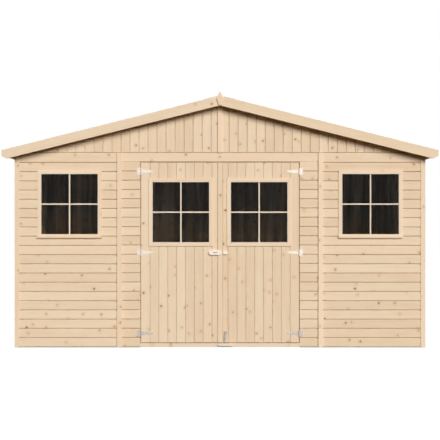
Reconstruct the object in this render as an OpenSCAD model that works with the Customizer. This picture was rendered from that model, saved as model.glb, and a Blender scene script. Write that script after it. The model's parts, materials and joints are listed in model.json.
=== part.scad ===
// Wooden garden shed with a gable front, a pair of boarded doors and two front windows.
// Millimetres. X runs across the front, Y from the front (negative) to the back, Z up from the ground.

/* [Walls] */
// Depth of the shed over its wall boards
shed_d = 3000; // [2700:10:3600]
// Height of the wall panels, from the ground to the gable
wall_h = 1859; // [1600:1:2200]
// Width of the boards beside the doors, to the panel joint
door_side_w = 201; // [160:1:300]
// Distance from the panel joint to a front window's casing
window_inner = 169; // [100:1:300]
// Distance from a front window's casing to the side wall
window_outer = 201; // [120:1:300]
// Distance from the middle of a side wall to its panel joints
side_joint_y = 500; // [400:1:650]
// Thickness of the wall boards
board_t = 16; // [12:1:22]
// Height of the lowest board above the ground
board_foot = 5; // [2:1:10]
// Section of the square framing timber
stud = 45; // [38:1:48]
// Width of the cover strips on corners and panel joints
strip_w = 45; // [40:1:60]
// Thickness of the cover strips
strip_t = 16; // [10:1:20]
// Thickness of the cover strips on the corners of the front and the back
corner_t = 6; // [5:1:16]
// Gap between neighbouring panels behind a cover strip
panel_gap = 2; // [1:0.5:4]

/* [Floor] */
// Height of the bearers under the floor
bearer_h = 26; // [20:1:34]
// Width of a bearer
bearer_w = 45; // [38:1:70]
// Number of bearers
bearer_n = 6; // [4:1:9]
// Thickness of the floor boards
floor_t = 16; // [14:1:20]

/* [Roof] */
// Slope of the roof in degrees
pitch = 14; // [10:0.5:20]
// Height of the gable boards at the side walls
gable_heel = 25; // [15:1:45]
// Roof overhang in front of the gable boards
gable_overhang = 90; // [60:1:200]
// Roof overhang beside the side walls
eave_overhang = 102; // [60:1:200]
// Thickness of the roof boards
deck_t = 16; // [14:1:20]
// Thickness of the eave boards
eave_t = 16; // [12:1:20]
// Height of the eave boards
eave_h = 54; // [40:1:70]
// Thickness of the roof felt
felt_t = 2.5; // [2:0.5:4]
// How far the felt is turned down over the eave boards
felt_lip = 30; // [20:1:36]
// Width of the felt cap along the ridge
ridge_cap_w = 300; // [200:10:400]
// Width of the ridge beam
beam_w = 45; // [38:1:70]
// Height of the ridge beam's sides
beam_h = 60; // [50:1:62]
// Width of a purlin
purlin_w = 45; // [38:1:60]
// Height of a purlin
purlin_h = 60; // [50:1:65]
// Distance of the purlins from the middle of the shed
purlin_x = 870; // [780:1:1000]

/* [Gable trim] */
// Width of the bargeboards
barge_w = 90; // [80:1:120]
// Thickness of the bargeboards
barge_t = 18; // [14:1:24]
// How far the bargeboards stand above the roof boards
barge_rise = 8; // [6:0.5:14]
// How far the bargeboards reach past the eave boards
barge_reach = 4; // [3:0.5:10]
// Height of the plumb cut at a bargeboard's foot
barge_end_h = 57; // [40:1:70]
// Width of the splayed cut at a bargeboard's foot
barge_splay = 52; // [30:1:70]
// Joint between the two bargeboards at the ridge
barge_joint = 1; // [0.5:0.5:3]
// Height of the kite-shaped finial
finial_h = 135; // [110:1:180]
// Width of the finial at its widest place
finial_w = 68; // [60:1:100]
// Width of the finial's foot
finial_foot_w = 32; // [20:1:50]
// Height of the finial's point above its widest place
finial_point = 66; // [50:1:80]
// Height of the finial's point above the bargeboards
finial_rise = 41; // [20:1:60]
// Thickness of the finial
finial_t = 16; // [12:1:22]

/* [Doorway] */
// Height of the board over the doors
header_h = 87; // [70:1:180]
// Gap around the door leaves
door_gap = 6; // [6:0.5:10]
// Gap between the meeting edges of the two leaves
meeting_gap = 6; // [6:0.5:10]
// How far the door stops reach into the doorway
stop_w = 17; // [14:1:22]
// How far the stop above the doors hangs down
stop_h = 14; // [12:1:18]
// Room between the door boards and the stops
stop_set = 6; // [6:0.5:10]

/* [Door leaves] */
// Thickness of the ledges behind the door boards
ledge_t = 27; // [20:1:32]
// Width of a ledge
ledge_w = 95; // [80:1:110]
// Distance from a ledge's end to the hinge side of its leaf
ledge_inset = 18; // [18:1:40]
// Distance from a ledge's end to the meeting edge of its leaf
ledge_meet = 10; // [8:1:40]
// Width of the strip on the meeting edge
door_strip_w = 42; // [34:1:50]
// Thickness of the strip on the meeting edge
door_strip_t = 12; // [10:1:16]

/* [Windows] */
// Width of the visible glass
pane_w = 538; // [400:1:700]
// Height of the visible glass
pane_h = 573; // [400:1:700]
// Thickness of the glass
pane_t = 4; // [3:0.5:6]
// Width of the window casing
casing_w = 38; // [30:1:60]
// Thickness of the window casing
casing_t = 10; // [8:1:16]
// Thickness of the liner inside a window's hole
liner_t = 11; // [8:1:14]
// How far a front window's sill stands out from the boards
sill_t = 22; // [17:1:30]
// Height of the sill's front edge
sill_nose = 20; // [12:1:28]
// Distance from the top of the wall panels to the front windows' glass
window_drop = 204; // [120:1:300]
// Distance from the top of the doorway to the door windows' glass
door_pane_drop = 194; // [185:1:300]
// Distance from the middle of the doors to a door window's casing
pane_inner = 66.5; // [50:0.5:120]
// Distance from a door window's casing to the hinge edge of its leaf
pane_outer = 72.5; // [50:0.5:140]

/* [Hinges] */
// Height of the lowest hinges above the foot of the leaves
hinge_low = 88; // [60:1:200]
// Distance from the door windows' glass down to the middle hinges
hinge_mid_drop = 98; // [85:1:200]
// Distance from the top of the leaves down to the top hinges
hinge_top_drop = 86; // [65:1:90]
// Height of a hinge's wall plate
hinge_plate_h = 62; // [56:1:76]
// Reach of the wall plate from the pin
hinge_plate_l = 34; // [28:1:44]
// Reach of the strap from the pin
strap_l = 118; // [100:1:140]
// Width of the strap at the pin
strap_w = 38; // [30:1:48]
// Width of the strap at its tip
strap_tip_w = 16; // [12:1:22]
// Thickness of the hinge metal
hinge_t = 2.5; // [2:0.5:3]
// Radius of the knuckles
knuckle_r = 5.5; // [5:0.25:5.75]
// Distance of the pin from the face of the boards
knuckle_off = 6; // [6:0.25:8]
// Radius of the hinge pin
pin_r = 3; // [2.5:0.25:3.25]
// Clearance around the pin
pin_clear = 0.1; // [0.1:0.05:0.2]
// Gap between neighbouring knuckles
knuckle_gap = 0.5; // [0.3:0.1:1]
// Room between a plate and the other half's knuckle
plate_clear = 1.5; // [1:0.5:3]

/* [Latch] */
// Distance from the door windows' glass down to the slide latch
latch_drop = 99; // [80:1:200]
// Length of the latch case
latch_l = 120; // [110:1:140]
// Height of the latch case
latch_h = 43; // [36:1:50]
// Reach of the latch case past the middle of the doors
latch_reach = 14; // [8:1:17]
// Wall of the latch case in front of and behind the bolt
latch_wall = 2.2; // [2:0.1:3]
// Travel of the bolt
latch_travel = 30; // [26:1:34]
// Height of the bolt's tongue
tongue_h = 16; // [12:1:18]
// Thickness of the bolt's tongue
tongue_t = 5; // [4:0.5:6]
// How far the tongue's tip stays inside the case
tongue_set = 2; // [1:0.5:4]
// Clearance around the sliding tongue
slide_clear = 0.4; // [0.3:0.1:0.6]
// Radius of the thumb knob's stem
knob_r = 4; // [3:0.5:5]
// How far the thumb knob stands out of the case
knob_proud = 8; // [5:1:12]
// Distance from the case's end to the thumb slot
slot_set = 40; // [34:1:44]
// Room around the knob in the thumb slot
slot_clear = 1; // [0.5:0.25:1.5]
// Length of the keeper
keeper_l = 38; // [30:1:50]
// Height of the keeper
keeper_h = 30; // [26:1:44]
// Distance from the leaf's edge to the keeper
keeper_set = 2; // [1:0.5:4]
// Room around the tongue in the keeper
keeper_clear = 1; // [0.75:0.25:1.5]

/* [Drop bolt] */
// Distance of the drop bolt from the middle of the doors
drop_x = 48; // [48:1:70]
// Distance of the rod from the face of the boards
drop_off = 10; // [9:0.5:13]
// Radius of the rod
drop_r = 6; // [5:0.5:6.5]
// Clearance around the rod in its guides
drop_clear = 0.3; // [0.2:0.05:0.5]
// Travel of the rod
drop_travel = 22; // [18:1:24]
// Height of the raised rod's foot above the threshold
drop_rise = 4; // [2:0.5:6]
// Length of the rod from its foot to its handle
drop_l = 98; // [96:1:104]
// Length of the bent handle
drop_handle_l = 22; // [16:1:40]
// Width of the bolt's back plate
drop_plate_w = 28; // [24:1:36]
// Height of the bolt's back plate
drop_plate_h = 100; // [90:1:104]
// Height of the back plate's foot above the foot of the leaf
drop_plate_set = 7; // [4:1:12]
// Thickness of the back plate
drop_plate_t = 2; // [1.5:0.5:3]
// Width of a rod guide
guide_w = 20; // [17:1:24]
// Height of a rod guide
guide_h = 12; // [8:1:14]
// Height of the lower guide above the back plate's foot
guide_low = 7; // [5:1:10]
// Spacing of the two guides
guide_pitch = 33; // [26:1:36]
// Width of the rod's keeper block on the threshold
drop_keeper_w = 134; // [60:1:160]
// Height of the keeper block
drop_keeper_h = 24; // [18:1:26]
// Distance from the top of the threshold down to the keeper block
drop_keeper_drop = 4; // [3:1:8]
// Metal around the rod in guides and keeper
guide_wall = 3; // [2.5:0.5:4]

/* [Hidden] */
// Room left where two timbers of one frame meet end to side
fit_gap = 0.5;
// Room left between sloping pieces that lie on each other
lay_gap = 0.05;
// Overshoot of a cut past the faces that it opens
cut_over = 1;

// Places across the front, worked out from the middle of the doors
door_pane_x = pane_inner + casing_w + pane_w / 2;
leaf_x = door_pane_x + pane_w / 2 + casing_w + pane_outer;
jamb_x = leaf_x + door_gap;
panel_x = jamb_x + door_side_w;
window_x = panel_x + window_inner + casing_w + pane_w / 2;
clad_x = window_x + pane_w / 2 + casing_w + window_outer;
half_w = clad_x + strip_t;

// Planes of the wall frames
frame_x = clad_x - board_t;
inner_x = frame_x - stud;
front_y = shed_d / 2;
frame_y = front_y - board_t;
inner_y = frame_y - stud;
side_frame_y = inner_y - fit_gap;
stud_top = wall_h - stud;
floor_z = bearer_h + floor_t;

// Roof planes, worked out from the heel of the gable
slope = tan(pitch);
ridge_under = wall_h + gable_heel + clad_x * slope;
deck_rise = deck_t / cos(pitch);
felt_rise = felt_t / cos(pitch);
deck_x = clad_x + eave_overhang;
eave_x = deck_x + eave_t;
deck_y = front_y + gable_overhang;
barge_y = deck_y + barge_t;
beam_foot = under_z(beam_w / 2) - beam_h;
purlin_s = purlin_x / cos(pitch);
side_plate_z = under_z(frame_x) - stud;
rail_x = (ridge_under - stud / cos(pitch) - wall_h - stud) / slope - stud;
rafter_start = (beam_w / 2 + fit_gap + stud * sin(pitch)) / cos(pitch);
rafter_end = (ridge_under - stud * cos(pitch) - wall_h) / sin(pitch) - panel_gap;
barge_tip = eave_x + barge_reach;
finial_tip_z = top_z(0) + barge_rise + finial_rise;

// Doorway, leaves and windows
door_head_z = wall_h - header_h;
window_z = wall_h - window_drop - pane_h;
door_pane_z = door_head_z - door_pane_drop - pane_h;
leaf_foot = floor_z + door_gap;
leaf_top = door_head_z - door_gap;
left_meet_x = door_strip_w / 2;
right_meet_x = left_meet_x + meeting_gap;
hole_w = pane_w + 2 * liner_t;
pane_y = (front_y + frame_y) / 2;
hinge_heights = [leaf_foot + hinge_low, door_pane_z - hinge_mid_drop, leaf_top - hinge_top_drop];

// Hinge pins, set half the door gap outside the leaves
hinge_x = jamb_x - door_gap / 2;
hinge_y = front_y + knuckle_off;
knuckle_h = hinge_plate_h / 3;
plate_start = knuckle_r + plate_clear;

// Slide latch
latch_z = door_pane_z - latch_drop;
latch_t = door_strip_t + 2 * latch_wall + tongue_t + 2 * slide_clear;
latch_start = latch_reach - latch_l;
latch_face_y = front_y + latch_t;
tongue_face_y = latch_face_y - latch_wall - slide_clear;
tongue_back_y = tongue_face_y - tongue_t;
slot_start = latch_start + slot_set;
slot_end = slot_start + latch_travel + 2 * (knob_r + slot_clear);
knob_x = slot_start + slot_clear + knob_r;
tongue_start = knob_x - 2 * knob_r;
keeper_x = right_meet_x + keeper_set;

// Drop bolt
drop_y = front_y + drop_off;
guide_y = drop_y + drop_r + guide_wall;
drop_foot_z = floor_z + drop_rise;
drop_plate_z = leaf_foot + drop_plate_set;
drop_keeper_z = floor_z - drop_keeper_drop - drop_keeper_h;
handle_z = drop_foot_z + drop_l;

// Colours of the materials
wood = [0.88, 0.78, 0.63];
trim_wood = [0.91, 0.82, 0.68];
frame_wood = [0.84, 0.72, 0.55];
zinc = [0.80, 0.82, 0.84];
felt = [0.25, 0.27, 0.27];
glass = [0.15, 0.16, 0.17, 0.6];

$fn = 64;

// Plane that carries the roof boards, and their top, at a distance x from the ridge
function under_z(x) = ridge_under - abs(x) * slope;
function top_z(x) = under_z(x) + lay_gap + deck_rise;

// Top of the roof felt
function felt_z(x) = top_z(x) + lay_gap + felt_rise;

// Square block between two corners
module box(low, high) {
    translate(low) cube(high - low);
}

// Outline in X and Z drawn out along Y
module along_y(y0, y1) {
    translate([0, y1, 0]) rotate([90, 0, 0]) linear_extrude(y1 - y0) children();
}

// A piece and its twin on the other side of the shed
module both_sides() {
    children();
    mirror([1, 0, 0]) children();
}

// A piece and its twin at the back of the shed
module both_ends() {
    children();
    mirror([0, 1, 0]) children();
}

// Outline placed by its distance down the slope and its depth below the roof boards
module down_slope() {
    translate([0, ridge_under]) rotate(-pitch) children();
}

module purlin_outline(over = 0) {
    down_slope() translate([purlin_s - purlin_w / 2, -purlin_h]) square([purlin_w, purlin_h + over]);
}

// Boards of the front wall between two heights
module front_boards(x0, x1, z0, z1) {
    box([x0, -front_y, z0], [x1, -frame_y, z1]);
}

module window_hole(x, z) {
    box([x - hole_w / 2, -front_y - cut_over, z - liner_t],
        [x + hole_w / 2, -frame_y + cut_over, z + pane_h + liner_t]);
}

// Casing on the boards and liner in the hole, made as one frame around the glass
module window_frame(x, z) {
    difference() {
        union() {
            box([x - pane_w / 2 - casing_w, -front_y - casing_t, z - casing_w],
                [x + pane_w / 2 + casing_w, -front_y, z + pane_h + casing_w]);
            box([x - hole_w / 2, -front_y - casing_t, z - liner_t],
                [x + hole_w / 2, -frame_y, z + pane_h + liner_t]);
        }
        box([x - pane_w / 2, -front_y - casing_t - cut_over, z],
            [x + pane_w / 2, -frame_y + cut_over, z + pane_h]);
    }
}

// Sill below a window, with a top that slopes to the front
module window_sill(x, z) {
    foot = z - casing_w;
    translate([x - pane_w / 2 - casing_w, 0, 0]) rotate([90, 0, 90])
        linear_extrude(pane_w + 2 * casing_w) polygon([
            [-front_y, foot],
            [-front_y - sill_t, foot],
            [-front_y - sill_t, foot + sill_nose],
            [-front_y - casing_t, z],
            [-front_y, z]
        ]);
}

module window_pane(x, z) {
    box([x - pane_w / 2, -pane_y - pane_t / 2, z], [x + pane_w / 2, -pane_y + pane_t / 2, z + pane_h]);
}

// Upright of a wall frame, between its sole plate and its top plate
module front_stud(x, w) {
    box([x - w / 2, -frame_y, stud], [x + w / 2, -inner_y, stud_top]);
}

module side_stud(y, w) {
    box([inner_x, y - w / 2, stud], [frame_x, y + w / 2, side_plate_z]);
}

// Half of the gable's boards, notched for the ridge beam and a purlin
module gable_half() {
    along_y(-front_y, -frame_y) difference() {
        polygon([
            [panel_gap / 2, wall_h],
            [clad_x, wall_h],
            [clad_x, under_z(clad_x)],
            [panel_gap / 2, under_z(panel_gap / 2)]
        ]);
        translate([-beam_w / 2, beam_foot]) square([beam_w, beam_h + stud]);
        purlin_outline(cut_over);
    }
}

// Boards of one side wall, cut to the slope of the roof
module side_panel(y0, y1) {
    along_y(y0, y1) polygon([
        [frame_x, board_foot],
        [clad_x, board_foot],
        [clad_x, under_z(clad_x)],
        [frame_x, under_z(frame_x)]
    ]);
}

module side_wall() {
    side_panel(-frame_y, -side_joint_y - panel_gap / 2);
    side_panel(-side_joint_y + panel_gap / 2, side_joint_y - panel_gap / 2);
    side_panel(side_joint_y + panel_gap / 2, frame_y);
}

// Cover strips on the gable end: corners, panel joints and the middle of the gable
module end_strips() {
    both_sides() {
        box([half_w - strip_w, -front_y - corner_t, 0], [half_w, -front_y, wall_h]);
        box([panel_x - strip_w / 2, -front_y - strip_t, 0], [panel_x + strip_w / 2, -front_y, wall_h]);
    }
    box([-strip_w / 2, -front_y - strip_t, wall_h], [strip_w / 2, -front_y, beam_foot - lay_gap]);
}

// Boards of one door leaf, with the hole for its window
module leaf_boards(x0, x1, pane_x) {
    difference() {
        front_boards(x0, x1, leaf_foot, leaf_top);
        window_hole(pane_x, door_pane_z);
    }
}

module leaf_ledges(x0, x1) {
    for (z = hinge_heights)
        box([x0, -frame_y, z - ledge_w / 2], [x1, -frame_y + ledge_t, z + ledge_w / 2]);
}

// Wall half of a tee hinge: plate, outer knuckles and pin, with the pin on the Z axis
module hinge_plate() {
    difference() {
        union() {
            box([0, knuckle_off - hinge_t, -hinge_plate_h / 2],
                [hinge_plate_l, knuckle_off, hinge_plate_h / 2]);
            cylinder(h = hinge_plate_h, r = knuckle_r, center = true);
        }
        cube([2 * plate_start, 4 * knuckle_off, knuckle_h + 2 * knuckle_gap], center = true);
    }
    cylinder(h = hinge_plate_h, r = pin_r, center = true);
}

// Door half of a tee hinge: middle knuckle and tapered strap with a round tip
module hinge_strap() {
    difference() {
        union() {
            cylinder(h = knuckle_h, r = knuckle_r, center = true);
            box([-2 * plate_start, knuckle_off - hinge_t, -knuckle_h / 2], [0, knuckle_off, knuckle_h / 2]);
            along_y(knuckle_off - hinge_t, knuckle_off) {
                polygon([
                    [-plate_start, strap_w / 2],
                    [-plate_start, -strap_w / 2],
                    [-strap_l + strap_tip_w / 2, -strap_tip_w / 2],
                    [-strap_l + strap_tip_w / 2, strap_tip_w / 2]
                ]);
                translate([-strap_l + strap_tip_w / 2, 0]) circle(d = strap_tip_w);
            }
        }
        cylinder(h = hinge_plate_h, r = pin_r + pin_clear, center = true);
    }
}

// Hinge halves of the right-hand door at their three heights
module right_hinges() {
    for (z = hinge_heights)
        translate([hinge_x, -hinge_y, z]) children();
}

// Outline with straight sides and round ends, between two places along X
module round_bar(x0, x1, h) {
    translate([x0 + h / 2, -h / 2]) square([x1 - x0 - h, h]);
    translate([x0 + h / 2, 0]) circle(d = h);
    translate([x1 - h / 2, 0]) circle(d = h);
}

// Guide for the drop bolt's rod, a block on the back plate with a round hole
module rod_guide(z) {
    difference() {
        box([drop_x - guide_w / 2, -guide_y, z],
            [drop_x + guide_w / 2, -front_y - drop_plate_t / 2, z + guide_h]);
        translate([drop_x, -drop_y, z - cut_over])
            cylinder(h = guide_h + 2 * cut_over, r = drop_r + drop_clear);
    }
}

module floor_bearers() {
    step = (2 * inner_x - bearer_w) / (bearer_n - 1);
    color(frame_wood)
        for (i = [0 : bearer_n - 1])
            box([-inner_x + i * step, -inner_y, 0], [-inner_x + i * step + bearer_w, inner_y, bearer_h]);
}

module floor_deck() {
    color(wood) box([-inner_x, -inner_y, bearer_h], [inner_x, inner_y, floor_z]);
}

module wall_plates() {
    color(frame_wood) {
        both_ends() box([-frame_x, -frame_y, stud_top], [frame_x, -inner_y, wall_h]);
        both_sides() {
            along_y(-side_frame_y, side_frame_y) polygon([
                [inner_x, side_plate_z],
                [frame_x, side_plate_z],
                [frame_x, under_z(frame_x)],
                [inner_x, under_z(inner_x)]
            ]);
            box([inner_x, -side_frame_y, 0], [frame_x, side_frame_y, stud]);
            box([jamb_x + stud, -frame_y, 0], [frame_x, -inner_y, stud]);
        }
        box([-frame_x, inner_y, 0], [frame_x, frame_y, stud]);
    }
}

module wall_studs() {
    color(frame_wood) {
        both_sides() {
            both_ends() {
                front_stud(frame_x - stud / 2, stud);
                front_stud(panel_x, 2 * stud);
            }
            for (side = [-1, 1])
                front_stud(window_x + side * (hole_w + stud) / 2, stud);
            for (z = [window_z - liner_t - stud, window_z + pane_h + liner_t])
                box([window_x - hole_w / 2 + fit_gap, -frame_y, z],
                    [window_x + hole_w / 2 - fit_gap, -inner_y, z + stud]);
            mirror([0, 1, 0]) {
                front_stud(panel_x / 2, stud);
                front_stud((panel_x + frame_x) / 2, stud);
            }
            both_ends() {
                side_stud(-side_joint_y, 2 * stud);
                side_stud(-(side_joint_y + inner_y) / 2, stud);
            }
            side_stud(0, stud);
        }
        mirror([0, 1, 0]) front_stud(0, stud);
    }
}

module door_posts() {
    color(frame_wood) both_sides() {
        box([jamb_x, -frame_y, 0], [jamb_x + stud, -inner_y, stud_top]);
        box([jamb_x - stop_w, -frame_y + stop_set, floor_z],
            [jamb_x + stop_w, -inner_y, door_head_z - stop_h]);
    }
}

module door_head() {
    color(frame_wood) {
        box([-jamb_x, -frame_y, door_head_z], [jamb_x, -inner_y, stud_top]);
        box([-jamb_x, -frame_y + stop_set, door_head_z - stop_h], [jamb_x, -inner_y, door_head_z + stop_h]);
    }
}

module door_threshold() {
    color(trim_wood) box([-jamb_x, -front_y, board_foot], [jamb_x, -inner_y, floor_z]);
}

module front_left_wall() {
    color(wood) difference() {
        front_boards(-clad_x, -panel_x - panel_gap / 2, board_foot, wall_h);
        window_hole(-window_x, window_z);
    }
}

module front_right_wall() {
    color(wood) difference() {
        front_boards(panel_x + panel_gap / 2, clad_x, board_foot, wall_h);
        window_hole(window_x, window_z);
    }
}

module front_door_sides() {
    color(wood) both_sides() front_boards(jamb_x, panel_x - panel_gap / 2, board_foot, door_head_z);
}

module front_header() {
    color(wood) front_boards(-panel_x + panel_gap / 2, panel_x - panel_gap / 2, door_head_z, wall_h);
}

module front_gable() {
    color(wood) both_sides() gable_half();
}

module back_wall() {
    color(wood) mirror([0, 1, 0]) {
        both_sides() front_boards(panel_x + panel_gap / 2, clad_x, board_foot, wall_h);
        front_boards(-panel_x + panel_gap / 2, panel_x - panel_gap / 2, board_foot, wall_h);
    }
}

module back_gable() {
    color(wood) mirror([0, 1, 0]) both_sides() gable_half();
}

module left_wall() {
    color(wood) mirror([1, 0, 0]) side_wall();
}

module right_wall() {
    color(wood) side_wall();
}

module gable_frames() {
    purlin_side = purlin_w / 2 + fit_gap;
    color(frame_wood) both_ends() {
        box([-rail_x, -frame_y, wall_h], [rail_x, -inner_y, wall_h + stud]);
        both_sides() along_y(-frame_y, -inner_y) down_slope() {
            translate([rafter_start, -stud]) square([purlin_s - purlin_side - rafter_start, stud]);
            translate([purlin_s + purlin_side, -stud]) square([rafter_end - purlin_s - purlin_side, stud]);
        }
    }
}

module front_cover_strips() {
    color(trim_wood) end_strips();
}

module back_cover_strips() {
    color(trim_wood) mirror([0, 1, 0]) end_strips();
}

module side_cover_strips() {
    color(trim_wood) both_sides() both_ends() {
        box([clad_x, -front_y, 0], [half_w, -front_y + strip_w, wall_h]);
        box([clad_x, -side_joint_y - strip_w / 2, 0], [half_w, -side_joint_y + strip_w / 2, wall_h]);
    }
}

module roof_beams() {
    color(frame_wood) along_y(-deck_y, deck_y) {
        polygon([
            [-beam_w / 2, beam_foot],
            [beam_w / 2, beam_foot],
            [beam_w / 2, under_z(beam_w / 2)],
            [0, ridge_under],
            [-beam_w / 2, under_z(beam_w / 2)]
        ]);
        both_sides() purlin_outline();
    }
}

module eave_boards() {
    color(trim_wood) both_sides() along_y(-deck_y, deck_y) polygon([
        [deck_x, top_z(deck_x) - eave_h],
        [eave_x, top_z(deck_x) - eave_h],
        [eave_x, top_z(eave_x)],
        [deck_x, top_z(deck_x)]
    ]);
}

module roof_deck() {
    color(wood) both_sides() along_y(-deck_y, deck_y) polygon([
        [panel_gap / 2, under_z(panel_gap / 2) + lay_gap],
        [deck_x, under_z(deck_x) + lay_gap],
        [deck_x, top_z(deck_x)],
        [panel_gap / 2, top_z(panel_gap / 2)]
    ]);
}

module roof_felt() {
    lip_x = eave_x + lay_gap;
    color(felt) both_sides() along_y(-deck_y, deck_y) polygon([
        [panel_gap / 2, top_z(panel_gap / 2) + lay_gap],
        [lip_x, top_z(lip_x) + lay_gap],
        [lip_x, top_z(lip_x) - felt_lip],
        [lip_x + felt_t, top_z(lip_x) - felt_lip],
        [lip_x + felt_t, felt_z(lip_x + felt_t)],
        [panel_gap / 2, felt_z(panel_gap / 2)]
    ]);
}

module ridge_cap() {
    cap_x = ridge_cap_w / 2;
    color(felt) along_y(-deck_y, deck_y) polygon([
        [0, felt_z(0) + lay_gap],
        [cap_x, felt_z(cap_x) + lay_gap],
        [cap_x, felt_z(cap_x) + lay_gap + felt_rise],
        [0, felt_z(0) + lay_gap + felt_rise],
        [-cap_x, felt_z(cap_x) + lay_gap + felt_rise],
        [-cap_x, felt_z(cap_x) + lay_gap]
    ]);
}

module bargeboards() {
    foot_x = barge_tip - barge_splay;
    plumb_w = barge_w / cos(pitch);
    color(trim_wood) both_ends() both_sides() along_y(-barge_y, -deck_y) polygon([
        [barge_joint / 2, top_z(barge_joint / 2) + barge_rise],
        [barge_tip, top_z(barge_tip) + barge_rise],
        [barge_tip, top_z(barge_tip) + barge_rise - barge_end_h],
        [foot_x, top_z(foot_x) + barge_rise - plumb_w],
        [barge_joint / 2, top_z(barge_joint / 2) + barge_rise - plumb_w]
    ]);
}

module finials() {
    color(trim_wood) both_ends() along_y(-barge_y - finial_t, -barge_y)
        translate([0, finial_tip_z]) polygon([
            [0, 0],
            [finial_w / 2, -finial_point],
            [finial_foot_w / 2, -finial_h],
            [-finial_foot_w / 2, -finial_h],
            [-finial_w / 2, -finial_point]
        ]);
}

module front_window_frames() {
    color(trim_wood) both_sides() {
        window_frame(window_x, window_z);
        window_sill(window_x, window_z);
    }
}

module front_window_glass() {
    color(glass) both_sides() window_pane(window_x, window_z);
}

module left_door_leaf() {
    color(wood) leaf_boards(-leaf_x, left_meet_x, -door_pane_x);
}

module left_door_ledges() {
    color(frame_wood) leaf_ledges(-leaf_x + ledge_inset, left_meet_x - ledge_meet);
}

module left_door_strip() {
    color(trim_wood)
        box([-left_meet_x, -front_y - door_strip_t, leaf_foot], [left_meet_x, -front_y, leaf_top]);
}

module left_door_window_frame() {
    color(trim_wood) window_frame(-door_pane_x, door_pane_z);
}

module left_door_glass() {
    color(glass) window_pane(-door_pane_x, door_pane_z);
}

module right_door_leaf() {
    color(wood) leaf_boards(right_meet_x, leaf_x, door_pane_x);
}

module right_door_ledges() {
    color(frame_wood) leaf_ledges(right_meet_x + ledge_meet, leaf_x - ledge_inset);
}

module right_door_window_frame() {
    color(trim_wood) window_frame(door_pane_x, door_pane_z);
}

module right_door_glass() {
    color(glass) window_pane(door_pane_x, door_pane_z);
}

module hinge_plates() {
    color(zinc) both_sides() right_hinges() hinge_plate();
}

module left_hinge_straps() {
    color(zinc) mirror([1, 0, 0]) right_hinges() hinge_strap();
}

module right_hinge_straps() {
    color(zinc) right_hinges() hinge_strap();
}

// Oval case across the meeting strip, with a channel for the tongue and a thumb slot
module latch_case() {
    channel_h = tongue_h + 2 * slide_clear;
    color(zinc) difference() {
        along_y(-latch_face_y, -front_y)
            translate([0, latch_z]) round_bar(latch_start, latch_reach, latch_h);
        box([-left_meet_x, -front_y - door_strip_t, latch_z - latch_h],
            [latch_reach + cut_over, -front_y + cut_over, latch_z + latch_h]);
        box([tongue_start - slot_clear, -tongue_face_y - slide_clear, latch_z - channel_h / 2],
            [latch_reach + cut_over, -tongue_back_y + slide_clear, latch_z + channel_h / 2]);
        along_y(-latch_face_y - cut_over, -tongue_face_y)
            translate([0, latch_z]) round_bar(slot_start, slot_end, 2 * (knob_r + slot_clear));
    }
}

module latch_bolt() {
    color(zinc) {
        box([tongue_start, -tongue_face_y, latch_z - tongue_h / 2],
            [latch_reach - tongue_set, -tongue_back_y, latch_z + tongue_h / 2]);
        along_y(-latch_face_y - knob_proud, -tongue_back_y) translate([knob_x, latch_z]) circle(r = knob_r);
    }
}

// Block on the right-hand leaf with a slot right through it for the tongue
module latch_keeper() {
    slot_h = tongue_h + 2 * keeper_clear;
    color(zinc) difference() {
        box([keeper_x, -latch_face_y - keeper_clear, latch_z - keeper_h / 2],
            [keeper_x + keeper_l, -front_y, latch_z + keeper_h / 2]);
        box([keeper_x - cut_over, -tongue_face_y - keeper_clear, latch_z - slot_h / 2],
            [keeper_x + keeper_l + cut_over, -tongue_back_y + keeper_clear, latch_z + slot_h / 2]);
    }
}

module drop_bolt_plate() {
    guide_z = drop_plate_z + guide_low;
    color(zinc) {
        box([drop_x - drop_plate_w / 2, -front_y - drop_plate_t, drop_plate_z],
            [drop_x + drop_plate_w / 2, -front_y, drop_plate_z + drop_plate_h]);
        rod_guide(guide_z);
        rod_guide(guide_z + guide_pitch);
    }
}

// Rod with a round elbow and a handle bent to the side
module drop_bolt_rod() {
    color(zinc) translate([drop_x, -drop_y, 0]) {
        translate([0, 0, drop_foot_z]) cylinder(h = drop_l, r = drop_r);
        translate([0, 0, handle_z]) {
            sphere(r = drop_r);
            rotate([0, 90, 0]) cylinder(h = drop_handle_l, r = drop_r);
        }
    }
}

// Wooden block on the threshold with a round hole for the rod
module drop_bolt_keeper() {
    color(trim_wood) difference() {
        box([drop_x - drop_keeper_w / 2, -guide_y, drop_keeper_z],
            [drop_x + drop_keeper_w / 2, -front_y, drop_keeper_z + drop_keeper_h]);
        translate([drop_x, -drop_y, drop_keeper_z - cut_over])
            cylinder(h = drop_keeper_h + 2 * cut_over, r = drop_r + 2 * drop_clear);
    }
}

floor_bearers();
floor_deck();
wall_plates();
wall_studs();
door_posts();
door_head();
door_threshold();
front_left_wall();
front_right_wall();
front_door_sides();
front_header();
front_gable();
back_wall();
back_gable();
left_wall();
right_wall();
gable_frames();
front_cover_strips();
back_cover_strips();
side_cover_strips();
roof_beams();
eave_boards();
roof_deck();
roof_felt();
ridge_cap();
bargeboards();
finials();
front_window_frames();
front_window_glass();
left_door_leaf();
left_door_ledges();
left_door_strip();
left_door_window_frame();
left_door_glass();
right_door_leaf();
right_door_ledges();
right_door_window_frame();
right_door_glass();
hinge_plates();
left_hinge_straps();
right_hinge_straps();
latch_case();
latch_bolt();
latch_keeper();
drop_bolt_plate();
drop_bolt_rod();
drop_bolt_keeper();
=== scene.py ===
"""Looks of a wooden garden shed. Metres, X across the front, Y from the front to the back, Z up."""
import json
import math
import random

import bmesh
import bpy
from mathutils import Matrix, Vector


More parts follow.
